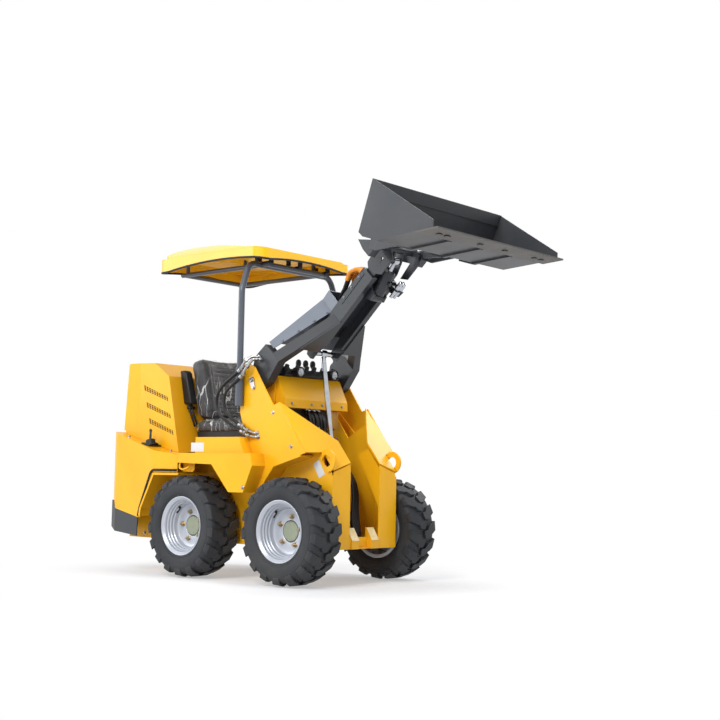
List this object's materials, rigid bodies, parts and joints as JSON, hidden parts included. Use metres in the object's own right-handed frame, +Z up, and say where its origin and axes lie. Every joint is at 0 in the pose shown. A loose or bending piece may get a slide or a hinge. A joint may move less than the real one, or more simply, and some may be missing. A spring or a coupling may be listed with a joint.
{
  "type": "wheel loader",
  "caption": "Compact rigid-frame wheel loader, yellow and dark grey, with a fixed canopy over an open seat, a raised telescopic boom, a wide bucket and lugged tyres",
  "frame": {"origin": "on the ground, under the middle of the overall length and width", "axes": "+X forward, +Y to the driver's left, +Z up"},
  "size_m": [2.6608, 1.13, 2.0926],
  "materials": {
    "yellow_paint": "glossy yellow machine paint",
    "canopy_shell": "glossy yellow fibreglass",
    "dark_paint": "satin dark grey paint",
    "bucket_paint": "satin dark grey paint, lightly scuffed",
    "bare_steel": "worn steel",
    "tyre": "matt black rubber",
    "wheel_paint": "silver paint",
    "drive_paint": "dark cast housing",
    "engine_paint": "dark engine casting",
    "valve_paint": "dark valve casting",
    "rod_chrome": "hard chrome",
    "seat_vinyl": "black vinyl",
    "black_plastic": "black plastic",
    "hose_rubber": "black hose cover",
    "orange_sleeve": "orange plastic sleeve"
  },
  "bodies": {
    "machine": {"chassis_frame": "yellow_paint", "nose_frame": "yellow_paint", "tower_right": "yellow_paint", "tower_left": "yellow_paint", "fender_right": "yellow_paint", "fender_left": "yellow_paint", "rear_body": "yellow_paint", "rear_bumper": "dark_paint", "engine_block": "engine_paint", "hood": "yellow_paint", "console": "yellow_paint", "work_lamps": "black_plastic", "control_levers": "black_plastic", "valve_block": "valve_paint", "seat_base": "black_plastic", "seat_cushion": "seat_vinyl", "seat_back": "seat_vinyl", "armrests": "seat_vinyl", "canopy_frame": "dark_paint", "canopy_roof": "canopy_shell", "drive_hubs": "drive_paint"},
    "rear_door": {"rear_door": "yellow_paint"},
    "wheel_fr": {"tyre_fr": "tyre", "rim_fr": "wheel_paint"},
    "wheel_fl": {"tyre_fl": "tyre", "rim_fl": "wheel_paint"},
    "wheel_rr": {"tyre_rr": "tyre", "rim_rr": "wheel_paint"},
    "wheel_rl": {"tyre_rl": "tyre", "rim_rl": "wheel_paint"},
    "boom": {"boom": "dark_paint", "boom_cover": "dark_paint", "boom_hoses": "hose_rubber", "hose_sleeves": "orange_sleeve"},
    "inner_boom": {"inner_boom": "dark_paint"},
    "lift_barrel": {"lift_barrel": "dark_paint"},
    "lift_rod": {"lift_rod": "rod_chrome"},
    "tilt_barrel": {"tilt_barrel": "dark_paint"},
    "tilt_rod": {"tilt_rod": "rod_chrome"},
    "bucket": {"tool_carrier": "dark_paint", "bucket": "bucket_paint", "cutting_edge": "bare_steel"}
  },
  "joints": [
    {"name": "wheel_fr", "type": "hinge", "parent": "machine", "child": "wheel_fr", "pos_m": [0.2383, -0.403, 0.292], "axis": [0, 1, 0], "continuous": true},
    {"name": "wheel_fl", "type": "hinge", "parent": "machine", "child": "wheel_fl", "pos_m": [0.2383, 0.403, 0.292], "axis": [0, 1, 0], "continuous": true},
    {"name": "wheel_rr", "type": "hinge", "parent": "machine", "child": "wheel_rr", "pos_m": [-0.5467, -0.403, 0.292], "axis": [0, 1, 0], "continuous": true},
    {"name": "wheel_rl", "type": "hinge", "parent": "machine", "child": "wheel_rl", "pos_m": [-0.5467, 0.403, 0.292], "axis": [0, 1, 0], "continuous": true},
    {"name": "boom_lift", "type": "hinge", "parent": "machine", "child": "boom", "pos_m": [-0.1147, 0, 1.12], "axis": [0, -1, 0], "range_deg": [-97, 0]},
    {"name": "boom_extend", "type": "slide", "parent": "boom", "child": "inner_boom", "axis": [0.7193, 0, 0.6947], "range_m": [0, 0.4]},
    {"name": "bucket_tilt", "type": "hinge", "parent": "inner_boom", "child": "bucket", "pos_m": [0.5518, 0, 1.82619], "axis": [0, 1, 0], "range_deg": [-100, 40]},
    {"name": "lift_foot", "type": "hinge", "parent": "machine", "child": "lift_barrel", "pos_m": [0.2233, 0, 0.33], "axis": [0, -1, 0], "range_deg": [-0.5, 4.5]},
    {"name": "lift_stroke", "type": "slide", "parent": "lift_barrel", "child": "lift_rod", "axis": [-0.1548, 0, 0.9879], "range_m": [-0.36, 0.005]},
    {"name": "tilt_foot", "type": "hinge", "parent": "inner_boom", "child": "tilt_barrel", "pos_m": [0.46983, 0, 1.58717], "axis": [0, 1, 0], "range_deg": [-7.5, 3.5]},
    {"name": "tilt_stroke", "type": "slide", "parent": "tilt_barrel", "child": "tilt_rod", "axis": [0.5638, 0, 0.8259], "range_m": [-0.042, 0.102]},
    {"name": "rear_door_hinge", "type": "hinge", "parent": "machine", "child": "rear_door", "pos_m": [-1.2951, 0.3, 1.03806], "axis": [-0.0744, 0, -0.9972], "range_deg": [0, 100]}
  ],
  "couplings": [
    {"joint": "lift_foot", "follows": "boom_lift", "ratio": -0.0406},
    {"joint": "lift_stroke", "follows": "boom_lift", "m_per_rad": 0.2115},
    {"joint": "tilt_foot", "follows": "bucket_tilt", "ratio": 0.0678},
    {"joint": "tilt_stroke", "follows": "bucket_tilt", "m_per_rad": -0.0551}
  ]
}
